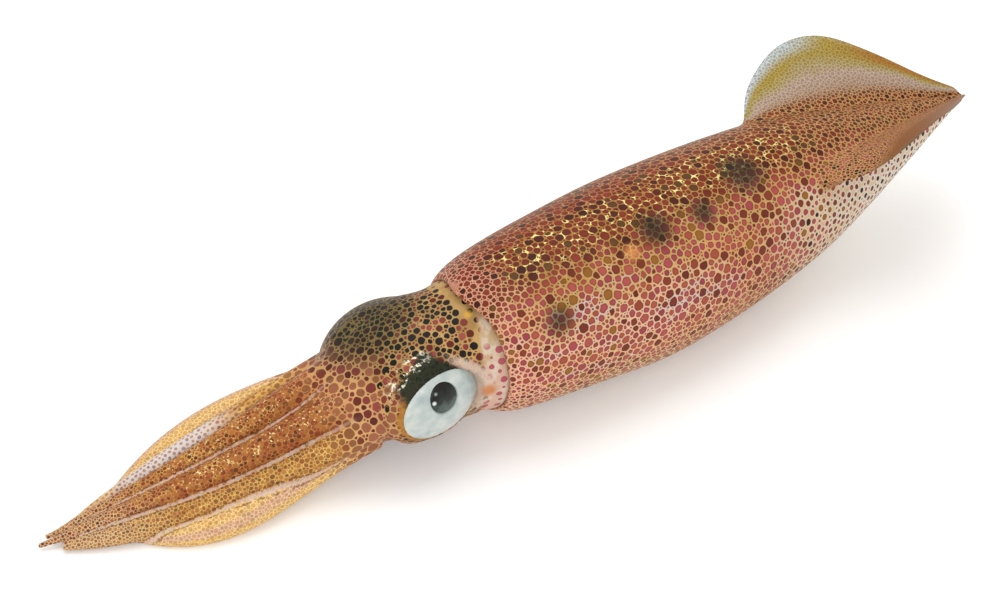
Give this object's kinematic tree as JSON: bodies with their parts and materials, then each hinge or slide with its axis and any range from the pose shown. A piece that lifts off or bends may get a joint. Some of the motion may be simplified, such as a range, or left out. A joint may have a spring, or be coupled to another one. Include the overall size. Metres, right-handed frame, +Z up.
{
  "type": "whole raw squid",
  "caption": "Whole raw squid lying belly down: a tapering mantle with two rear fins, a collar, a head with large eyes, a funnel and a bundle of tapering arms.",
  "frame": {"origin": "on the flat spot of the belly that the animal rests on, below the mantle's centre line", "axes": "+X along the body towards the tail, with the head and arms at -X; +Z up, towards the back; the animal's left side faces -Y"},
  "size_m": [0.2027, 0.0441, 0.0375],
  "materials": {
    "skin": "wet, smooth raw skin over pale flesh, densely speckled with round brown, red and pink pigment spots on a gold to pinkish ground",
    "eye": "glossy wet eyeball, silvery blue-white with a large black pupil"
  },
  "bodies": {
    "root": {"squid_body": "skin", "eye_left": "eye", "eye_right": "eye"}
  },
  "joints": []
}
